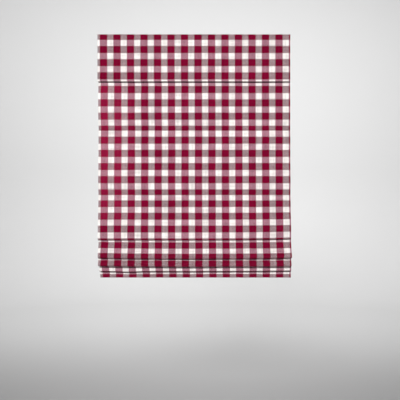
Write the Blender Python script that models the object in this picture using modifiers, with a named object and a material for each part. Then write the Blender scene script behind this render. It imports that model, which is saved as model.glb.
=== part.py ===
"""Roman shade of checked cotton, hung inside a window recess and drawn most of the way up.

Metres, +Z up, with the room towards -Y. The origin is the middle of the heading's top face, above
the plane in which the shade's flat upper part hangs.

Each piece of cloth is one section, drawn in the Y-Z plane and carried across the width. The
shade's section runs down from the heading through two flat panels, then back and forth through
four folds gathered under their ribs, to the hem. At each rib the cloth is sewn into a narrow tuck,
which points back in the flat part and up in the gathered part.
"""

import math
from collections import namedtuple

import bmesh
import bpy
import numpy as np

MM = 0.001

# Driving sizes, in metres.
WIDTH = 0.735
CLOTH = 0.0012
GAP = 0.0003
HEAD_DEPTH = 0.0230
VALANCE_DROP = 0.1800
VALANCE_HEM = 0.030
SHADE_HEM = 0.040

# Sizes of the sections, in millimetres. Bends are measured at the middle of the cloth.
HALF_CLOTH = CLOTH / MM / 2
RETURN_Z = -HALF_CLOTH
HEADING_Z = RETURN_Z - (CLOTH + GAP) / MM
VALANCE_BEND = 1.8
VALANCE_LEAN = 0.8
VALANCE_DRIFT = -1.9
HEADING_BEND = 2.2
HEADING_FLAP = 18.0
HEM_BEND = 1.2
SHOULDER_DROP = 22.0
TUCK_MOUTH = 1.6
TUCK_NECK = 0.8
TUCK_RADIUS = 1.5
GATHERED_TUCK = math.radians(85.0)
LONGEST_STEP = 16.0
WIDEST_TURN = math.radians(32.0)
STATIONS = 9

# One row for each length of cloth between ribs, from the top down. Every size is in millimetres.
# top: where the cloth leaves its rib. shoulder: how far forward it stands just below the rib.
# waist and belly: two places that it passes on the way down. edge: the front and the underside
# of the turn at its bottom, whose radius is bend, or of the hem where bend is 0.
# bow: how far the layer behind swings back from a straight way up to the next rib.
# left and right: how much higher the edge hangs at each end. drift: how far it has moved along X.
Drop = namedtuple(
    "Drop",
    "name top_y top_z shoulder_y waist_y waist_z belly_y belly_z edge_y edge_z bend bow left right drift",
)
DROPS = (
    Drop("upper", 0, HEADING_Z - HEADING_BEND, -1, -7, -190, -10.5, -305, -4, -362.1, 0, 0, 0, 0, -0.5),
    Drop("middle", -4, -362.1, -7, -9, -470, -14, -588, -9, -613.3, 0, 0, 0, 0, 0.1),
    Drop("first", -9, -613.3, -14, -16, -672, -28, -742, -28, -785.0, 5.5, 1, 0, 3.8, 0.4),
    Drop("second", 2, -702.7, 2.5, -11, -775, -26, -817.5, -40.5, -857.2, 10, -2, 3, 3, 1.8),
    Drop("third", 5, -757, 4, -13, -840, -21.5, -862, -33, -886.6, 6.5, 7.5, 2, 1, 1.4),
    Drop("fourth", 13, -769, 12, 5, -840, -4.5, -880, -9, -906.9, 5, 1, 0, 2, 3.6),
    Drop("lowest", 20, -792.5, 22, 20, -850, 13, -891, 7, -931.6, 0, 0, 0, 0, 4.2),
)

# How much of its edge's unevenness a length of cloth has at its waist and its belly, and half-way up
# the layer behind.
WAIST_SHARE = 0.4
BELLY_SHARE = 0.7
BACK_SHARE = 0.4

# A place on a section: y and z, then how far its left end, its right end and the whole of it stand
# away from an even hang, and whether the cloth has a corner there.
Place = namedtuple("Place", "y z left right drift corner", defaults=(0, 0, 0, 0))


def turn(centre, radius, first, last):
    """Points along an arc, from the angle first to the angle last round its centre."""
    count = math.ceil(abs(last - first) / WIDEST_TURN) + 1
    angles = np.linspace(first, last, count)
    return np.array(centre) + radius * np.stack([np.cos(angles), np.sin(angles)], axis=1)


def tuck(rib, way):
    """Points round the sewn tuck of a rib: in at its mouth, round the rib's tube and out again.

    The tuck points along the angle way, where 0 is to the back and a right angle is up.
    """
    mouth = np.array([rib.top_y, rib.top_z])
    deep = np.array([math.cos(way), math.sin(way)])
    across = np.array([-math.sin(way), math.cos(way)]) * TUCK_MOUTH / 2
    opening = math.asin(TUCK_MOUTH / 2 / TUCK_RADIUS)
    centre = mouth + deep * (TUCK_NECK + TUCK_RADIUS * math.cos(opening))
    tube = turn(centre, TUCK_RADIUS, way + math.pi - opening, way - math.pi + opening)
    return [mouth + across, *tube, mouth - across]


def turned_hem(front_y, under_z, depth, lean=0):
    """The fold of a hem turned up behind its cloth, and the points up to its cut edge.

    The cloth goes back by lean times the way up.
    """
    back_y = front_y + 2 * HEM_BEND
    fold = turn((front_y + HEM_BEND, under_z + HEM_BEND), HEM_BEND, math.pi, 2 * math.pi)
    return fold, [(back_y + lean * up, under_z + up) for up in (depth / 2, depth)]


def front_layer(drop):
    """The places that a length of cloth passes on its way down from its rib."""
    shoulder_z = drop.top_z - SHOULDER_DROP
    return [(drop.shoulder_y, shoulder_z), (drop.waist_y, drop.waist_z), (drop.belly_y, drop.belly_z)]


def fold_bottom(drop, rib):
    """The turn at the bottom of a fold, which ends where its back layer sets off to the next rib."""
    centre = np.array([drop.edge_y + drop.bend, drop.edge_z + drop.bend])
    arrive = math.atan2(drop.belly_y - drop.edge_y, drop.belly_z - centre[1])
    leave = math.atan2(rib.top_y - centre[0] - drop.bend, rib.top_z - centre[1])
    return turn(centre, drop.bend, math.pi - arrive, 2 * math.pi - leave)


def back_layer(drop, start, rib):
    """The place half-way up a fold's back layer, which bows back from the straight way."""
    way = np.array([rib.top_y, rib.top_z]) - start
    square_to_way = np.array([way[1], -way[0]]) / np.linalg.norm(way)
    return start + way / 2 + square_to_way * drop.bow


def layer(points, drop, share=0):
    """Points of a layer as places that take a share of their drop's unevenness."""
    return [Place(*p, drop.left * share, drop.right * share, drop.drift) for p in points]


def bent(points, drop, share=0):
    """Points of a turn or a tuck as places, with a corner where each end meets its layer."""
    start, *middle, end = layer(points, drop, share)
    return [start._replace(corner=1), *middle, end._replace(corner=1)]


def shade_section():
    """The shade's places, from the front of the heading to the cut edge of the hem."""
    upper, lowest = DROPS[0], DROPS[-1]
    heading = turn((upper.top_y - HEADING_BEND, upper.top_z), HEADING_BEND, math.pi / 2, 0)
    places = layer([heading[0] - [HEADING_FLAP, 0]], upper) + bent(heading, upper)
    for drop, rib in zip(DROPS, DROPS[1:]):
        shoulder, waist, belly = front_layer(drop)
        places += layer([shoulder], drop) + layer([waist], drop, WAIST_SHARE)
        places += layer([belly], drop, BELLY_SHARE)
        if drop.bend:
            bottom = fold_bottom(drop, rib)
            places += bent(bottom, drop, 1) + layer([back_layer(drop, bottom[-1], rib)], drop, BACK_SHARE)
        places += bent(tuck(rib, GATHERED_TUCK if drop.bend else 0), rib)
    lean = (lowest.belly_y - lowest.edge_y) / (lowest.belly_z - lowest.edge_z)
    fold, back = turned_hem(lowest.edge_y, lowest.edge_z, SHADE_HEM / MM, lean)
    return places + layer(front_layer(lowest), lowest) + bent(fold, lowest) + layer(back, lowest)


def valance_section():
    """The valance's places: its return from the back, the fold over the front, the drop, the hem."""
    hang = DROPS[0]._replace(drift=VALANCE_DRIFT)
    front = HALF_CLOTH - HEAD_DEPTH / MM
    under = HALF_CLOTH - VALANCE_DROP / MM
    fold = turn((front + VALANCE_BEND, RETURN_Z - VALANCE_BEND), VALANCE_BEND, math.pi / 2, math.pi)
    hem, back = turned_hem(front + VALANCE_LEAN, under, VALANCE_HEM / MM)
    return layer([(HALF_CLOTH, RETURN_Z)], hang) + bent(fold, hang) + bent(hem, hang) + layer(back, hang)


def smooth(places):
    """The places as an array of rows, with rows added where two places are far apart.

    Between two places the cloth follows the cubic that has its slope at each: the mean of the two
    straight steps that meet there, each weighted by the other's length, or at a corner its own.
    """
    rows = np.array(places, dtype=float)
    steps = np.diff(rows, axis=0)
    length = np.linalg.norm(steps[:, :2], axis=1)[:, None]
    slope = steps / length
    mean = (slope[:-1] * length[1:] + slope[1:] * length[:-1]) / (length[:-1] + length[1:])
    corner = rows[1:-1, 5:] > 0
    leaving = np.vstack([slope[:1], np.where(corner, slope[1:], mean)])
    arriving = np.vstack([np.where(corner, slope[:-1], mean), slope[-1:]])
    smoothed = []
    for i, step in enumerate(length[:, 0]):
        t = np.linspace(0, 1, math.ceil(step / LONGEST_STEP), endpoint=False)[:, None]
        bend = (1 - t) * leaving[i] - t * arriving[i] + (2 * t - 1) * slope[i]
        smoothed.append(rows[i] + t * steps[i] + t * (1 - t) * step * bend)
    return np.vstack([*smoothed, rows[-1:]])


def in_space(rows, across):
    """Where a section's rows lie, in metres, at a place across the width from -1 to 1.

    Each end of an edge is higher by its left or right size times the cube of the way out to it.
    """
    y, z, left, right, drift = rows.T[:5]
    rise = left * max(-across, 0) ** 3 + right * max(across, 0) ** 3
    x = across * WIDTH / 2 / MM + drift
    return np.stack([x, y, z + rise], axis=1) * MM


def cloth(name, section, material, collection):
    """A sheet: a flat grid laid on its section at each station, then given its thickness."""
    rows = smooth(section)
    stations = [in_space(rows, across) for across in np.linspace(-1, 1, STATIONS)]
    sheet = bmesh.new()
    bmesh.ops.create_grid(sheet, x_segments=STATIONS - 1, y_segments=len(rows) - 1, size=0.5)
    for vertex in sheet.verts:
        station = round((vertex.co.x + 0.5) * (STATIONS - 1))
        row = round((0.5 - vertex.co.y) * (len(rows) - 1))
        vertex.co = stations[station][row]
    mesh = bpy.data.meshes.new(name)
    sheet.to_mesh(mesh)
    sheet.free()
    mesh.materials.append(material)
    mesh.shade_smooth()
    piece = bpy.data.objects.new(name, mesh)
    collection.objects.link(piece)
    thickness = piece.modifiers.new("Cloth", "SOLIDIFY")
    thickness.thickness = CLOTH
    thickness.offset = 0
    thickness.use_even_offset = True
    return piece


def checked_cotton(name, colour):
    """Yarn-dyed cotton seen from afar, where the burgundy and white squares mix to one colour."""
    material = bpy.data.materials.new(name)
    material.use_nodes = True
    shader = material.node_tree.nodes["Principled BSDF"]
    shader.inputs["Base Color"].default_value = (*colour, 1)
    shader.inputs["Roughness"].default_value = 0.9
    shader.inputs["Metallic"].default_value = 0
    return material


def shade_cotton():
    """The shade's cloth, whose folds are in shade and look a little deeper."""
    return checked_cotton("shade_cotton", (0.36, 0.17, 0.20))


def valance_cotton():
    """The valance's cloth, cut from the same roll."""
    return checked_cotton("valance_cotton", (0.40, 0.20, 0.23))


def clear_scene():
    """Remove what a new file holds."""
    for thing in list(bpy.data.objects):
        bpy.data.objects.remove(thing, do_unlink=True)


def main():
    clear_scene()
    roman_shade = bpy.data.collections.new("roman_shade")
    bpy.context.scene.collection.children.link(roman_shade)
    cloth("valance", valance_section(), valance_cotton(), roman_shade)
    cloth("shade", shade_section(), shade_cotton(), roman_shade)


main()
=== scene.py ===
"""Looks of a roman shade of burgundy and white gingham, hung and drawn most of the way up.

Each of its two pieces of cloth, the shade and the valance over its head, is one surface of two
parameters: a section drawn in the Y-Z plane, and the way across the width. Sizes are in millimetres
until a mesh is made. +Z is up, and the room is towards -Y.
"""

import math
from collections import namedtuple

import bpy
import numpy as np
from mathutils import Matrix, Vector


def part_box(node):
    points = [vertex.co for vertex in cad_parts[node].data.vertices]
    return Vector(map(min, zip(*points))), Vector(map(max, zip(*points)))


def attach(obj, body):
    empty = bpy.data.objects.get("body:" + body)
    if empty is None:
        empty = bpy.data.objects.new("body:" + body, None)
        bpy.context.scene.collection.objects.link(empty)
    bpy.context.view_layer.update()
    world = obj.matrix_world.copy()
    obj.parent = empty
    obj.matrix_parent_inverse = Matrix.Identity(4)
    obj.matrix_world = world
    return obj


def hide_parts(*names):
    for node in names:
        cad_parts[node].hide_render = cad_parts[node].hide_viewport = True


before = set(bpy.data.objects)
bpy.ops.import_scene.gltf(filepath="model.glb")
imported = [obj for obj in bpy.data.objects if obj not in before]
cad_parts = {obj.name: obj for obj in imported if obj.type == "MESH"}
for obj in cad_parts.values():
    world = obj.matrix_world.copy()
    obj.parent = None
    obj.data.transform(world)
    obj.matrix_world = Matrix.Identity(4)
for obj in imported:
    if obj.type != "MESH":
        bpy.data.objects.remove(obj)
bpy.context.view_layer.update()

MM = 0.001

# Sizes that come from the frame, whose cloth is PLAIN_CLOTH thick. The valance's return reaches half of
# that behind the origin.
PLAIN_CLOTH = 1.2
valance_low, valance_high = (np.array(corner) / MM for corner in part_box("valance"))
WIDTH, valance_depth, VALANCE_DROP = valance_high - valance_low
HEAD_DEPTH = valance_depth - PLAIN_CLOTH / 2

# Cloth. A side's fold stands out by SIDE_FOLD, and SIDE_HEM_START is how far under the heading it begins.
CLOTH = 0.9
SIDE_HEM = 25.0
SIDE_FOLD = 0.45
SIDE_HEM_START = 0.5
VALANCE_HEM = 30.0
SHADE_HEM = 40.0

# Stitching: the hems are caught down from behind, with small stitches that don't show in front. A
# stitch dips one radius of its thread into the cloth at its ends, and rises by STITCH_RISE radii. Its
# plies turn once in 0.63 of PLY_TWIST.
THREAD_RADIUS = 0.22
STITCH = 2.6
STITCH_STEP = 4.2
STITCH_INSET = 2.0
STITCH_RISE = 2.2
STITCH_RINGS = 5
STITCH_SIDES = 6
PLY_TWIST = 3.0

# The check: the width of a burgundy and a white stripe together, along the weft and the warp, the
# width of the burgundy one alone, and where along X the first burgundy stripe begins.
CHECK_ACROSS = 51.5
CHECK_DOWN = 50.8
BURGUNDY_ACROSS = 28.1
BURGUNDY_DOWN = 27.4
FIRST_COLUMN = -358.7

# The weave. Real yarns are about 0.4 mm apart; they are drawn coarser, 8 to a square, so that they show.
THREAD = 3.175
STRIPE_BLUR = 0.4
WAVER = 0.5
WAVER_LENGTH = 60.0
CROWN_HEIGHT = 0.12

# Uneven yarn: every thread has its own tone, thick places run along it, and the dye took unevenly.
# across and down: the size of a patch of one tone. amount: how much lighter or darker it may be.
Tone = namedtuple("Tone", "across down amount")
TONES = (
    Tone(THREAD, 60, 0.07),
    Tone(60, THREAD, 0.07),
    Tone(5, 90, 0.10),
    Tone(90, 5, 0.10),
    Tone(70, 110, 0.06),
)

# The values between which a noise texture nearly always stays.
NOISE_RANGE = (0.25, 0.75)

# Painted backlight: where the burgundy keeps its own colour, and where it is painted lighter, as if lit by
# daylight through the single layer of cloth: along X towards the left side, and along Z.
BACKLIGHT_SIDE = (-215.0, -290.0)
BACKLIGHT_TOP = (-182.0, -200.0)
BACKLIGHT_FOOT = (-745.0, -690.0)

# Sizes of the sections. Bends are measured at the middle of the cloth.
RETURN_Z = -PLAIN_CLOTH / 2
HEADING_Z = RETURN_Z - 1.5
VALANCE_BEND = 1.8
VALANCE_LEAN = 0.8
VALANCE_DRIFT = -1.9
VALANCE_SLIP = -16.0
VALANCE_GAIN = 1.7
HEADING_BEND = 2.2
HEADING_FLAP = 18.0
UPPER_Z = HEADING_Z - HEADING_BEND
HEM_BEND = 1.3
SHOULDER_DROP = 22.0
TUCK_MOUTH = 1.3
TUCK_NECK = 0.8
TUCK_RADIUS = 1.5
TUCK_CORNER = 0.6
GATHERED_TUCK = math.radians(85.0)

# How finely the cloth is drawn: the longest step down it, the widest turn in a bend, the places across
# it near each side and the gap between the others, and how far to each side of a hem's cut edge two lie.
# Where its faces turn by more than SHARP_TURN the edge between them is shaded as sharp.
LONGEST_STEP = 9.0
WIDEST_TURN = math.radians(20.0)
SIDE_COLUMNS = (0, 2, 7, 13, 19)
COLUMN_GAP = 7.0
CUT_EDGE = 0.2
SHARP_TURN = math.radians(50.0)

# One row for each length of cloth between ribs, from the top down. top: where the cloth leaves its
# rib. shoulder: how far forward it stands just below the rib. waist and belly: two places that it
# passes on the way down. edge: the front and the underside of the turn at its bottom, whose radius is
# bend, or of the hem.
Drop = namedtuple(
    "Drop",
    "name top_y top_z shoulder_y waist_y waist_z belly_y belly_z edge_y edge_z "
    "bend bow left right drift slip gain",
)
DROPS = (
    Drop("upper", 0, UPPER_Z, -1, -7, -190, -10.5, -305, -4, -362.1, 0, 0, 0, 0, -0.5, -209.5, -5.6),
    Drop("middle", -4, -362.1, -7, -9, -470, -14, -588, -9, -613.3, 0, 0, 0, 0, 0.1, -212, 0.4),
    Drop("first", -9, -613.3, -14, -16, -672, -28, -742, -28, -785.0, 5.5, 1, 0, 3.8, 0.4, -212, 7),
    Drop("second", 2, -702.7, 2.5, -11, -775, -26, -817.5, -40.5, -857.2, 10, -2, 3, 3, 1.8, -211, 13.5),
    Drop("third", 5, -757, 4, -13, -840, -21.5, -862, -33, -886.6, 6.5, 7.5, 2, 1, 1.4, -202.2, 0),
    Drop("fourth", 13, -769, 12, 5, -840, -4.5, -880, -9, -906.9, 5, 1, 0, 2, 3.6, -203.9, 2),
    Drop("lowest", 20, -792.5, 22, 20, -850, 13, -891, 7, -931.6, 0, 0, 0, 0, 4.2, -208.2, 0),
)

# How much of its edge's unevenness a length of cloth has at its waist and its belly, and half-way up
# the layer behind.
WAIST_SHARE = 0.4
BELLY_SHARE = 0.7
BACK_SHARE = 0.4

# Soft ridges and troughs in the hang of the cloth, which pass through every layer at their place.
# x and z: the middle. across and down: how far from it the cloth is back to a third. forward: how far
# the cloth stands out at the middle. lower: how far it hangs down there.
SoftFold = namedtuple("SoftFold", "x z across down forward lower")
SOFT_FOLDS = (
    SoftFold(-338, -235, 45, 75, 1.6, 0),
    SoftFold(-215, -250, 60, 90, -1.3, 0),
    SoftFold(40, -245, 95, 80, 1.2, 0.2),
    SoftFold(235, -225, 60, 85, -1.5, 0),
    SoftFold(345, -280, 40, 80, 1.4, 0),
    SoftFold(-290, -490, 70, 80, 1.8, 0.3),
    SoftFold(-110, -470, 65, 70, -1.6, 0),
    SoftFold(120, -510, 85, 70, 1.5, 0.3),
    SoftFold(310, -480, 55, 80, -1.7, 0),
    SoftFold(-335, -705, 45, 60, 2.2, 0),
    SoftFold(-70, -735, 110, 55, -2.6, 0.4),
    SoftFold(215, -720, 75, 60, 2.4, 0),
    SoftFold(-255, -840, 55, 50, 2.0, 0),
    SoftFold(-20, -870, 90, 50, 1.8, 0.5),
    SoftFold(160, -850, 50, 50, -1.8, 0),
    SoftFold(330, -890, 45, 55, 1.6, 0),
    SoftFold(-253, -906, 42, 14, 0, 2.4),
)

# The studio, in metres: its lamps, the strength of its light from all round, and the camera, which
# looks straight ahead along +Y and whose lens and sensor are in millimetres.
# at and towards: where a lamp stands, and the place it shines at. size: its width and height.
# power: in watts. spread: the angle in degrees that its light stays within, as behind a grid.
Lamp = namedtuple("Lamp", "name at towards size power spread")
LAMPS = (
    Lamp("key", (-0.7, -5.0, 1.12), (0, 0, -0.45), (2.0, 0.8), 25.6, 50),
    Lamp("rear", (1.2, 4.2, 1.4), (0, 0, -0.45), (2.0, 1.2), 14, 50),
    Lamp("backdrop", (0, 1.6, 2.6), (0, 6.0, -0.4), (4.0, 1.0), 165, 130),
    Lamp("left", (-3.6, 0.9, 0.3), (0, 0.1, -0.5), (1.2, 1.2), 8, 40),
    Lamp("right", (3.6, 0.9, 0.3), (0, 0.1, -0.5), (1.2, 1.2), 8, 40),
)
ROOM_STRENGTH = 0.15
CAMERA_AT = (0.0216, -2.5, -0.6325)
LENS = 58.44
SENSOR_WIDTH = 36.0

# A place on a section: y and z, then how far its left end, its right end and the whole of it stand
# away from an even hang, how far its check has slipped, whether its sides are turned under, and
# whether the cloth has a corner there.
Place = namedtuple("Place", "y z left right drift slip hemmed corner", defaults=(0,))
SLIP, HEMMED, CORNER = (Place._fields.index(name) for name in ("slip", "hemmed", "corner"))


def turn(centre, radius, first, last):
    """Points along an arc, from the angle first to the angle last round its centre."""
    count = math.ceil(abs(last - first) / WIDEST_TURN) + 1
    angles = np.linspace(first, last, count)
    return np.array(centre) + radius * np.stack([np.cos(angles), np.sin(angles)], axis=1)


def tuck(rib, gathered):
    """Points round the sewn tuck of a rib: in at its mouth, round the rib's tube and out again.

    The tuck points to the back in the flat part, where its mouth is rounded, and up in the gathered part.
    """
    way = GATHERED_TUCK if gathered else 0
    mouth = np.array([rib.top_y, rib.top_z])
    deep = np.array([math.cos(way), math.sin(way)])
    across = np.array([-math.sin(way), math.cos(way)])
    opening = math.asin(TUCK_MOUTH / 2 / TUCK_RADIUS)
    centre = mouth + deep * (TUCK_NECK + TUCK_RADIUS * math.cos(opening))
    tube = turn(centre, TUCK_RADIUS, way + math.pi - opening, way - math.pi + opening)
    if gathered:
        return [mouth + across * TUCK_MOUTH / 2, *tube, mouth - across * TUCK_MOUTH / 2]
    aside = across * (TUCK_MOUTH / 2 + TUCK_CORNER)
    lip = mouth + deep * TUCK_CORNER
    into = turn(lip + aside, TUCK_CORNER, way + math.pi, way + math.pi * 1.5)
    out = turn(lip - aside, TUCK_CORNER, way + math.pi / 2, way + math.pi)
    return [*into, *tube, *out]


def turned_hem(front_y, under_z, depth, lean=0):
    """The fold of a hem turned up behind its cloth, and the points up to its cut edge.

    The cloth goes back by lean times the way up.
    """
    back_y = front_y + 2 * HEM_BEND
    fold = turn((front_y + HEM_BEND, under_z + HEM_BEND), HEM_BEND, math.pi, 2 * math.pi)
    return fold, [(back_y + lean * up, under_z + up) for up in (depth / 2, depth)]


def front_layer(drop):
    """The places that a length of cloth passes on its way down from its rib."""
    shoulder_z = drop.top_z - SHOULDER_DROP
    return [(drop.shoulder_y, shoulder_z), (drop.waist_y, drop.waist_z), (drop.belly_y, drop.belly_z)]


def fold_bottom(drop, rib):
    """The turn at the bottom of a fold, which ends where its back layer sets off to the next rib."""
    centre = np.array([drop.edge_y + drop.bend, drop.edge_z + drop.bend])
    arrive = math.atan2(drop.belly_y - drop.edge_y, drop.belly_z - centre[1])
    leave = math.atan2(rib.top_y - centre[0] - drop.bend, rib.top_z - centre[1])
    return turn(centre, drop.bend, math.pi - arrive, 2 * math.pi - leave)


def back_layer(drop, start, rib):
    """The place half-way up a fold's back layer, which bows back from the straight way."""
    way = np.array([rib.top_y, rib.top_z]) - start
    square_to_way = np.array([way[1], -way[0]]) / np.linalg.norm(way)
    return start + way / 2 + square_to_way * drop.bow


def layer(points, drop, share=0, hemmed=1):
    """Points of a layer as places that take a share of their drop's unevenness."""
    slip = drop.slip + drop.gain * share
    return [Place(*p, drop.left * share, drop.right * share, drop.drift, slip, hemmed) for p in points]


def bent(points, drop, share=0, hemmed=1):
    """Points of a turn or a tuck as places, with a corner where each end meets its layer."""
    start, *middle, end = layer(points, drop, share, hemmed)
    return [start._replace(corner=1), *middle, end._replace(corner=1)]


def shade_section():
    """The shade's places, from the front of the heading to the cut edge of the hem.

    Its sides are turned under from the heading down, and flatten out behind the hem.
    """
    upper, lowest = DROPS[0], DROPS[-1]
    heading = turn((upper.top_y - HEADING_BEND, upper.top_z), HEADING_BEND, math.pi / 2, 0)
    places = layer([heading[0] - [HEADING_FLAP, 0]], upper, hemmed=0) + bent(heading, upper, hemmed=0)
    [side_start] = layer([(upper.top_y, upper.top_z - SIDE_HEM_START)], upper)
    places.append(side_start._replace(corner=1))
    for drop, rib in zip(DROPS, DROPS[1:]):
        shoulder, waist, belly = front_layer(drop)
        places += layer([shoulder], drop) + layer([waist], drop, WAIST_SHARE)
        places += layer([belly], drop, BELLY_SHARE)
        if drop.bend:
            bottom = fold_bottom(drop, rib)
            places += bent(bottom, drop, 1) + layer([back_layer(drop, bottom[-1], rib)], drop, BACK_SHARE)
        places += bent(tuck(rib, drop.bend > 0), rib)
    lean = (lowest.belly_y - lowest.edge_y) / (lowest.belly_z - lowest.edge_z)
    fold, back = turned_hem(lowest.edge_y, lowest.edge_z, SHADE_HEM, lean)
    places += layer(front_layer(lowest), lowest)
    return places + bent(fold, lowest, hemmed=0) + layer(back, lowest, hemmed=0)


def valance_section():
    """The valance's places: its return from the back, the fold over the front, the drop, the hem.

    Its sides are turned under from just below the fold, and flatten out behind the hem.
    """
    drop = DROPS[0]._replace(drift=VALANCE_DRIFT, slip=VALANCE_SLIP, gain=VALANCE_GAIN)
    front = PLAIN_CLOTH / 2 - HEAD_DEPTH
    under = PLAIN_CLOTH / 2 - VALANCE_DROP
    fold = turn((front + VALANCE_BEND, RETURN_Z - VALANCE_BEND), VALANCE_BEND, math.pi / 2, math.pi)
    hem, back = turned_hem(front + VALANCE_LEAN, under, VALANCE_HEM)
    below_fold = RETURN_Z - 3 * VALANCE_BEND
    above_hem = under + 1.3 * VALANCE_HEM
    return (
        layer([(PLAIN_CLOTH / 2, RETURN_Z)], drop, hemmed=0)
        + bent(fold, drop, hemmed=0)
        + layer([(front, below_fold)], drop)
        + layer([(front + VALANCE_LEAN, above_hem)], drop, 1)
        + bent(hem, drop, 1, hemmed=0)
        + layer(back, drop, 1, hemmed=0)
    )


def smooth(places):
    """The places as an array of rows, with rows added where two places are far apart.

    Between two places the cloth follows the cubic that has its slope at each: the mean of the two
    straight steps that meet there, each weighted by the other's length, or at a corner its own.
    """
    rows = np.array(places, dtype=float)
    steps = np.diff(rows, axis=0)
    length = np.linalg.norm(steps[:, :2], axis=1)[:, None]
    slope = steps / length
    mean = (slope[:-1] * length[1:] + slope[1:] * length[:-1]) / (length[:-1] + length[1:])
    corner = rows[1:-1, [CORNER]] > 0
    leaving = np.vstack([slope[:1], np.where(corner, slope[1:], mean)])
    arriving = np.vstack([np.where(corner, slope[:-1], mean), slope[-1:]])
    smoothed = []
    for i, step in enumerate(length[:, 0]):
        t = np.linspace(0, 1, math.ceil(step / LONGEST_STEP), endpoint=False)[:, None]
        bend = (1 - t) * leaving[i] - t * arriving[i] + (2 * t - 1) * slope[i]
        smoothed.append(rows[i] + t * steps[i] + t * (1 - t) * step * bend)
    return np.vstack([*smoothed, rows[-1:]])


def length_along(rows):
    """The cloth's length from the first row to each row."""
    return np.concatenate([[0], np.cumsum(np.linalg.norm(np.diff(rows[:, :2], axis=0), axis=1))])


def columns():
    """Places across the width, measured from its middle, and closer together at each side hem."""
    inward = np.array([*SIDE_COLUMNS, SIDE_HEM - CUT_EDGE, SIDE_HEM + CUT_EDGE])
    count = round((WIDTH - 2 * inward[-1]) / COLUMN_GAP)
    middle = np.linspace(inward[-1], WIDTH - inward[-1], count + 1)[1:-1]
    from_left = np.concatenate([inward, middle, WIDTH - inward[::-1]])
    return from_left - WIDTH / 2


def hang(rows, across):
    """The middle of the cloth in space, for each row and each place across.

    x is the place across plus the row's drift, and each end of a row is higher by its left or right
    size times the cube of the way out to it. The soft folds are added to y and z.
    """
    y, z, left, right, drift = (column[:, None] for column in rows.T[:5])
    way = across[None] / (WIDTH / 2)
    rise = left * np.clip(-way, 0, None) ** 3 + right * np.clip(way, 0, None) ** 3
    x = across[None] + drift
    z = z + rise
    forward, lower = soft_folds(x, z)
    return np.stack([x, y - forward, z - lower], axis=-1)


def soft_folds(x, z):
    """How far forward and how much lower the cloth hangs at each place.

    Each soft fold adds its size times a bell in x times a bell in z, where a bell is e to the power of
    minus the squared distance over the squared reach.
    """
    fold = np.array(SOFT_FOLDS)
    bell_x = np.exp(-(((x[..., None] - fold[:, 0]) / fold[:, 2]) ** 2))
    bell_z = np.exp(-(((z[..., None] - fold[:, 1]) / fold[:, 3]) ** 2))
    bell = bell_x * bell_z
    return bell @ fold[:, 4], bell @ fold[:, 5]


def towards_front(middle, length):
    """Unit vectors square to the cloth, out of the side that faces the room in the front layers.

    Each is the cross product of the cloth's slopes down and across, brought to length 1.
    """
    down = np.gradient(middle, length, axis=0)
    along = np.gradient(middle, axis=1)
    square = np.cross(down, along)
    return square / np.linalg.norm(square, axis=-1, keepdims=True)


def wrap(rows):
    """The cloth's skin: a ring of points for each row, and where each lies on the flat cloth.

    A ring runs across the front, round the folded right side, back behind and round the left side.
    A point of it is the middle of the cloth plus its offset times the normal. Behind, the offset is
    half the cloth's thickness, and a whole one more where the side is turned under. What shows there
    is the cloth past the fold, as far beyond it as the point is inside it. The fold itself stands out
    to the side, and is rounded off by half its depth.
    """
    across = columns()
    length = length_along(rows)
    middle = hang(rows, across)
    normal = towards_front(middle, length)
    last = len(across) - 1
    station = np.concatenate([[0], np.arange(last + 1), [last]])
    edge = np.zeros(last + 3)
    edge[[0, -1]] = 1
    outward = edge * np.sign(across[station]) * SIDE_FOLD
    from_side = WIDTH / 2 - np.abs(across[station])
    turned = (from_side < SIDE_HEM) * rows[:, [HEMMED]]
    rounded = edge * (1 + turned) * CLOTH / 4
    front = CLOTH / 2 - rounded
    behind = -CLOTH / 2 - turned * CLOTH + rounded
    x = across[station] + outward
    past_fold = np.sign(x) * (WIDTH - np.abs(across[station]))
    v = (length + rows[:, SLIP])[:, None] + 0 * x
    points, flat = [], []
    for offset, u in ((front, x + 0 * turned), (behind, np.where(turned > 0.5, past_fold, x))):
        side = middle[:, station] + normal[:, station] * offset[..., None]
        side[..., 0] += outward
        points.append(side)
        flat.append(np.stack([u, v], axis=-1))
    return [np.concatenate([before, after[:, ::-1]], axis=1) for before, after in (points, flat)]


def skin_faces(count, ring):
    """Faces between neighbouring rings, and across the cloth's thickness at the first and last ring."""
    row, j = np.meshgrid(np.arange(count - 1), np.arange(ring), indexing="ij")
    here, beside = row * ring + j, row * ring + (j + 1) % ring
    between = np.stack([here, here + ring, beside + ring, beside], axis=-1).reshape(-1, 4)
    j = np.arange(ring // 2 - 1)
    cap = np.stack([j, j + 1, ring - 2 - j, ring - 1 - j], axis=-1)
    return np.vstack([between, cap, cap[:, ::-1] + (count - 1) * ring])


def make_mesh(name, points, faces, material):
    """A smooth mesh of one material, from points in metres."""
    mesh = bpy.data.meshes.new(name)
    mesh.from_pydata(points.reshape(-1, 3).tolist(), [], faces)
    mesh.materials.append(material)
    mesh.shade_smooth()
    return mesh


def put_in_scene(name, data):
    """An object that holds a mesh, a lamp or a camera."""
    thing = bpy.data.objects.new(name, data)
    bpy.context.scene.collection.objects.link(thing)
    return thing


def cloth(name, rows, material):
    """A piece of cloth as a closed mesh, with its place on the flat cloth, in metres, as its UV map."""
    points, flat = wrap(rows)
    count, ring = points.shape[:2]
    mesh = make_mesh(name, points * MM, skin_faces(count, ring).tolist(), material)
    mesh.set_sharp_from_angle(angle=SHARP_TURN)
    corners = np.empty(len(mesh.loops), dtype=np.int32)
    mesh.loops.foreach_get("vertex_index", corners)
    uv = mesh.uv_layers.new(name="cloth")
    uv.data.foreach_set("uv", (flat.reshape(-1, 2)[corners] * MM).astype(np.float32).ravel())
    piece = put_in_scene(name, mesh)
    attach(piece, "root")
    return piece


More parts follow.
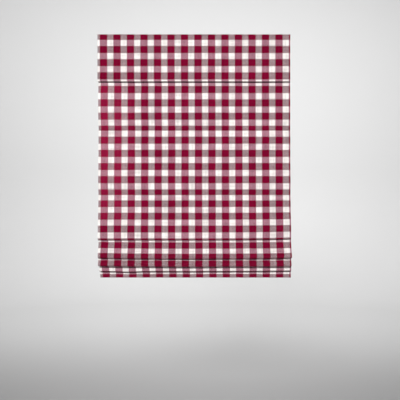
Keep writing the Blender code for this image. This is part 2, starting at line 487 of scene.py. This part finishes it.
def on_cloth(rows, along, across):
    """The middle of the cloth at lengths along it and places across, and three unit directions there.

    They point out of the cloth, across it and down it. Between two rows of the section the cloth is
    straight. Outward is square to a short step down and a short step across.
    """
    length = length_along(rows)
    step = 0.4

    def place(along, across):
        return hang(np.stack([np.interp(along, length, column) for column in rows.T], axis=1), across)

    down = place(along + step, across) - place(along - step, across)
    sideways = place(along, across + step) - place(along, across - step)
    outward = np.cross(down, sideways)
    units = [way / np.linalg.norm(way, axis=-1, keepdims=True) for way in (outward, sideways, down)]
    return [stitch.reshape(-1, STITCH_RINGS, 3) for stitch in (place(along, across), *units)]


def stitches(name, rows, seams, material):
    """The stitches of some seams as closed tubes, all in one mesh.

    A stitch's middle line runs along its seam and rises out of the cloth as half a sine wave. Each of its
    rings is a circle of the thread's radius, square to the seam.
    """
    t = np.linspace(0, 1, STITCH_RINGS)
    run = (t - 0.5) * STITCH
    rise = THREAD_RADIUS * (STITCH_RISE * np.sin(math.pi * t) - 1)
    around = np.arange(STITCH_SIDES) * 2 * math.pi / STITCH_SIDES
    points = []
    for along, across, lift in seams:
        is_down = len(across) == 1
        if is_down:
            along = np.add.outer(along, run).ravel()
        else:
            across = np.add.outer(across, run).ravel()
        middle, outward, sideways, down = on_cloth(rows, along, across)
        beside = -sideways if is_down else down
        ring = np.cos(around)[:, None] * outward[:, :, None] + np.sin(around)[:, None] * beside[:, :, None]
        height = np.sign(lift) * rise + lift
        points.append((middle + outward * height[:, None])[:, :, None] + THREAD_RADIUS * ring)
    points = np.concatenate(points)
    ring, j = np.meshgrid(np.arange(STITCH_RINGS - 1), np.arange(STITCH_SIDES), indexing="ij")
    here, beside = ring * STITCH_SIDES + j, ring * STITCH_SIDES + (j + 1) % STITCH_SIDES
    between = np.stack([here, beside, beside + STITCH_SIDES, here + STITCH_SIDES], axis=-1).reshape(-1, 4)
    first = np.arange(STITCH_SIDES)[::-1].reshape(1, -1)
    last = np.arange(STITCH_SIDES).reshape(1, -1) + (STITCH_RINGS - 1) * STITCH_SIDES
    start = np.arange(len(points))[:, None, None] * STITCH_RINGS * STITCH_SIDES
    faces = (start + between).reshape(-1, 4).tolist() + (start + first).reshape(-1, STITCH_SIDES).tolist()
    faces += (start + last).reshape(-1, STITCH_SIDES).tolist()
    piece = put_in_scene(name, make_mesh(name, points * MM, faces, material))
    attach(piece, "root")
    return piece


def hem_seams(rows):
    """Where a piece's hems are stitched: down both side hems and across the hem at its foot.

    Each seam has its lengths along the cloth, its places across, and how far its surface lies from the
    middle of the cloth. The side hems are stitched behind, where the cloth is double, and only where
    they are fully turned under.
    """
    length = length_along(rows)
    fully = length[rows[:, HEMMED] > 0.9]
    down = np.arange(fully[0] + STITCH_STEP, fully[-1] - STITCH_STEP, STITCH_STEP)
    side = WIDTH / 2 - SIDE_HEM + STITCH_INSET
    across = np.arange(-WIDTH / 2 + 2 * STITCH_STEP, WIDTH / 2 - STITCH_STEP, STITCH_STEP)
    foot = length[-1:] - STITCH_INSET
    single, double = CLOTH / 2, -1.5 * CLOTH
    return [(down, np.array([x]), double) for x in (-side, side)] + [(foot, across, single)]


def linear(code):
    """An sRGB hex colour as linear red, green, blue and alpha."""
    channels = np.array([int(code[i : i + 2], 16) for i in (1, 3, 5)]) / 255
    return (*np.where(channels <= 0.04045, channels / 12.92, ((channels + 0.055) / 1.055) ** 2.4), 1)


# The colours of the yarns. The burgundy is also painted lighter, as painted backlight, and the sewing
# thread has painted shade in its grooves. Then the colours of a white yarn in the taupe and in the mauve
# squares; the mauve one is pink with painted light reflected from the burgundy. The last two are the
# studio's paper and its light from all round.
WHITE = linear("#ebe4e1")
BURGUNDY = linear("#740228")
# Painted backlight: burgundy painted lighter, as if daylight shone through the single layer of cloth.
BACKLIT_BURGUNDY = linear("#861034")
TAUPE_WHITE = linear("#b0adae")
# Painted reflection: the white yarn in the mauve squares is painted pink, as if lit by light reflected off
# the burgundy.
MAUVE_WHITE_WITH_PAINTED_REFLECTION = linear("#c19aaa")
SEWING_THREAD = linear("#d9cfc8")
# Painted shade in the grooves between the sewing thread's plies.
SEWING_THREAD_GROOVE_SHADE = linear("#b9aca6")
PALE_PAPER = linear("#cccccc")
ROOM_LIGHT = linear("#f2f2f2")


def add(tree, kind, inputs, **settings):
    """Add a node of a kind, with its settings, and with its inputs set or linked. Give its outputs."""
    node = tree.nodes.new("ShaderNode" + kind)
    for name, value in settings.items():
        setattr(node, name, value)
    for socket, value in inputs.items():
        if isinstance(value, bpy.types.NodeSocket):
            tree.links.new(value, node.inputs[socket])
        else:
            node.inputs[socket].default_value = value
    return node.outputs


def gingham(name):
    """Plain-weave cotton, dyed in the yarn: white and burgundy warp and weft in stripes an inch wide.

    It is matt and a little uneven. Where both yarns are burgundy or both are white the cloth is plain,
    and where they cross it is a fine mixture: mauve over a burgundy warp, and taupe over a white one.
    """
    material = bpy.data.materials.new(name)
    material.use_nodes = True
    tree = material.node_tree
    shader = tree.nodes["Principled BSDF"]
    shader.inputs["Roughness"].default_value = 0.9
    shader.inputs["Specular IOR Level"].default_value = 0.08

    place = add(tree, "UVMap", {}, uv_map="cloth")[0]
    along_u, along_v, _ = add(tree, "SeparateXYZ", {0: place})

    # The edges of a stripe waver by a thread or so, because the yarns do.
    waver = {"Vector": place, "Scale": 1 / (WAVER_LENGTH * MM), "Detail": 2.0}
    wavering = add(tree, "TexNoise", waver, noise_dimensions="2D")[1]
    off_middle = add(tree, "VectorMath", {0: wavering, 1: (0.5, 0.5, 0.5)}, operation="SUBTRACT")[0]
    wavered = add(tree, "VectorMath", {0: off_middle, "Scale": 2 * WAVER * MM}, operation="SCALE")[0]
    moved = add(tree, "VectorMath", {0: place, 1: wavered}, operation="ADD")[0]
    u, v, _ = add(tree, "SeparateXYZ", {0: moved})

    # A stripe mask for each way: 1 where the yarn is burgundy.
    stripes = []
    for along, start, period, burgundy in (
        (u, FIRST_COLUMN, CHECK_ACROSS, BURGUNDY_ACROSS),
        (v, 0, CHECK_DOWN, BURGUNDY_DOWN),
    ):
        from_middle = add(tree, "Math", {0: along, 1: (start + burgundy / 2) * MM}, operation="SUBTRACT")[0]
        away = add(tree, "Math", {0: from_middle, 1: period / 2 * MM}, operation="PINGPONG")[0]
        limits = {0: away, 1: (burgundy / 2 + STRIPE_BLUR) * MM, 2: (burgundy / 2 - STRIPE_BLUR) * MM}
        stripes.append(add(tree, "MapRange", limits, interpolation_type="SMOOTHSTEP")[0])
    warp, weft = stripes

    # Over and under: cells one thread wide, which alternate like a chessboard. They are read half-way up
    # a cell, clear of its floor.
    cells = add(tree, "VectorMath", {0: place, "Scale": 1 / (THREAD * MM)}, operation="SCALE")[0]
    in_cell = add(tree, "VectorMath", {0: cells, 1: (0, 0, 0.5)}, operation="ADD")[0]
    white, black = (1, 1, 1, 1), (0, 0, 0, 1)
    warp_on_top = add(tree, "TexChecker", {"Vector": in_cell, 1: white, 2: black, "Scale": 1.0})[1]

    # Painted backlight: the burgundy is painted a little lighter near the left side, between the valance
    # and the gathered folds, as if daylight shone through the single layer of cloth there.
    seen_x, _, seen_z = add(tree, "SeparateXYZ", {0: add(tree, "TexCoord", {})[3]})
    backlight_share = 1.0
    for way, (plain_at, backlit_at) in ((seen_x, BACKLIGHT_SIDE), (seen_z, BACKLIGHT_TOP), (seen_z, BACKLIGHT_FOOT)):
        limits = {0: way, 1: plain_at * MM, 2: backlit_at * MM}
        share = add(tree, "MapRange", limits, interpolation_type="SMOOTHSTEP")[0]
        backlight_share = add(tree, "Math", {0: backlight_share, 1: share}, operation="MULTIPLY")[0]
    burgundy_with_backlight = add(tree, "Mix", {0: backlight_share, 6: BURGUNDY, 7: BACKLIT_BURGUNDY}, data_type="RGBA")[2]

    # Each yarn is one colour, but a white yarn is painted tinted where it crosses a burgundy one: greyer in
    # the taupe squares, and pinker in the mauve squares as painted light reflected from the burgundy.
    tops = []
    for yarn, crossing, white_where_crossed in ((warp, weft, TAUPE_WHITE), (weft, warp, MAUVE_WHITE_WITH_PAINTED_REFLECTION)):
        pale = add(tree, "Mix", {0: crossing, 6: WHITE, 7: white_where_crossed}, data_type="RGBA")[2]
        tops.append(add(tree, "Mix", {0: yarn, 6: pale, 7: burgundy_with_backlight}, data_type="RGBA")[2])
    woven = add(tree, "Mix", {0: warp_on_top, 6: tops[1], 7: tops[0]}, data_type="RGBA")[2]

    # The tones of uneven yarn, multiplied.
    low, high = NOISE_RANGE
    lightness = 1.0
    for tone in TONES:
        stretch = {"Vector": place, "Scale": (1 / (tone.across * MM), 1 / (tone.down * MM), 1)}
        patches = add(tree, "Mapping", stretch, vector_type="POINT")[0]
        noise = {"Vector": patches, "Scale": 1.0, "Detail": 1.0}
        streak = add(tree, "TexNoise", noise, noise_dimensions="2D")[0]
        limits = {0: streak, 1: low, 2: high, 3: 1 - tone.amount, 4: 1 + tone.amount}
        lighter = add(tree, "MapRange", limits)[0]
        lightness = add(tree, "Math", {0: lightness, 1: lighter}, operation="MULTIPLY")[0]
    colour = add(tree, "VectorMath", {0: woven, "Scale": lightness}, operation="SCALE")[0]
    tree.links.new(colour, shader.inputs["Base Color"])

    # The crown of each thread, where it passes over the other: a half sine wave each way, multiplied.
    crowns = []
    for along in (along_u, along_v):
        phase = add(tree, "Math", {0: along, 1: math.pi / (THREAD * MM)}, operation="MULTIPLY")[0]
        crowns.append(add(tree, "Math", {0: phase}, operation="SINE")[0])
    crown = add(tree, "Math", {0: crowns[0], 1: crowns[1]}, operation="MULTIPLY")[0]
    height = add(tree, "Math", {0: crown}, operation="ABSOLUTE")[0]
    relief = add(tree, "Bump", {"Height": height, "Strength": 0.6, "Distance": CROWN_HEIGHT * MM})[0]
    tree.links.new(relief, shader.inputs["Normal"])
    return material


def sewing_thread(name):
    """Spun polyester sewing thread, off-white: a little smoother than the cloth, with painted shade in the
    grooves between its twisted plies.
    """
    material = bpy.data.materials.new(name)
    material.use_nodes = True
    tree = material.node_tree
    shader = tree.nodes["Principled BSDF"]
    shader.inputs["Roughness"].default_value = 0.6
    shader.inputs["Specular IOR Level"].default_value = 0.3

    # Painted shade in the grooves between the plies, along their turns. A diagonal wave repeats 10 / (2 pi)
    # times in a unit.
    place = add(tree, "TexCoord", {})[3]
    twist = {"Vector": place, "Scale": 1 / (PLY_TWIST * MM), "Distortion": 1.0, "Detail": 1.0}
    groove_shade = add(tree, "TexWave", twist, wave_type="BANDS", bands_direction="DIAGONAL")[1]
    colour = add(tree, "Mix", {0: groove_shade, 6: SEWING_THREAD_GROOVE_SHADE, 7: SEWING_THREAD}, data_type="RGBA")[2]
    tree.links.new(colour, shader.inputs["Base Color"])
    return material


def soft_box(lamp):
    """A rectangular lamp that shines from one place towards another, and doesn't show itself."""
    light = bpy.data.lights.new(lamp.name, "AREA")
    light.shape = "RECTANGLE"
    light.size, light.size_y = lamp.size
    light.energy = lamp.power
    light.spread = math.radians(lamp.spread)
    box = put_in_scene(lamp.name, light)
    box.location = lamp.at
    box.rotation_euler = (Vector(lamp.towards) - Vector(lamp.at)).to_track_quat("-Z", "Y").to_euler()
    box.visible_camera = False


def cyclorama():
    """A round floor that sweeps up into a wall: a profile of radius and height, turned about +Z."""
    radius, sweep, floor_z, top_z = 6.0, 1.5, -1.75, 5.0
    sides, sweep_steps = 64, 12
    angle = np.linspace(-math.pi / 2, 0, sweep_steps + 1)
    out = np.concatenate([[0.0], radius - sweep + sweep * np.cos(angle), [radius]])[:, None]
    up = np.concatenate([[floor_z], floor_z + sweep + sweep * np.sin(angle), [top_z]])[:, None]
    way = np.linspace(0, 2 * math.pi, sides + 1)
    points = np.stack([out * np.cos(way), out * np.sin(way), up + 0 * way], axis=-1)
    i, j = np.meshgrid(np.arange(len(out) - 1), np.arange(sides), indexing="ij")
    here, above = i * (sides + 1) + j, (i + 1) * (sides + 1) + j
    faces = np.stack([here, here + 1, above + 1, above], axis=-1).reshape(-1, 4)
    paper = bpy.data.materials.new("pale_paper")
    paper.use_nodes = True
    shader = paper.node_tree.nodes["Principled BSDF"]
    shader.inputs["Base Color"].default_value = PALE_PAPER
    shader.inputs["Roughness"].default_value = 1.0
    shader.inputs["Specular IOR Level"].default_value = 0.0
    floor = put_in_scene("floor", make_mesh("floor", points, faces.tolist(), paper))


def studio():
    """A pale cyclorama, soft light from all round, and a camera straight in front."""
    cyclorama()
    world = bpy.data.worlds.new("studio")
    bpy.context.scene.world = world
    world.use_nodes = True
    background = world.node_tree.nodes["Background"]
    background.inputs["Color"].default_value = ROOM_LIGHT
    background.inputs["Strength"].default_value = ROOM_STRENGTH

    for lamp in LAMPS:
        soft_box(lamp)

    camera = bpy.data.cameras.new("camera")
    camera.sensor_width = SENSOR_WIDTH
    camera.lens = LENS
    eye = put_in_scene("camera", camera)
    eye.location = CAMERA_AT
    eye.rotation_euler = (math.pi / 2, 0, 0)
    bpy.context.scene.camera = eye
    bpy.context.scene.view_settings.view_transform = "Standard"


cotton = gingham("gingham_cotton")
thread = sewing_thread("polyester_thread")
for node, places in (("shade", shade_section()), ("valance", valance_section())):
    slot = node + "_cloth"
    rows = smooth(places)
    piece = cloth(slot, rows, cotton)
    seams = stitches(node + "_stitches", rows, hem_seams(rows), thread)
    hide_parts(node)
studio()
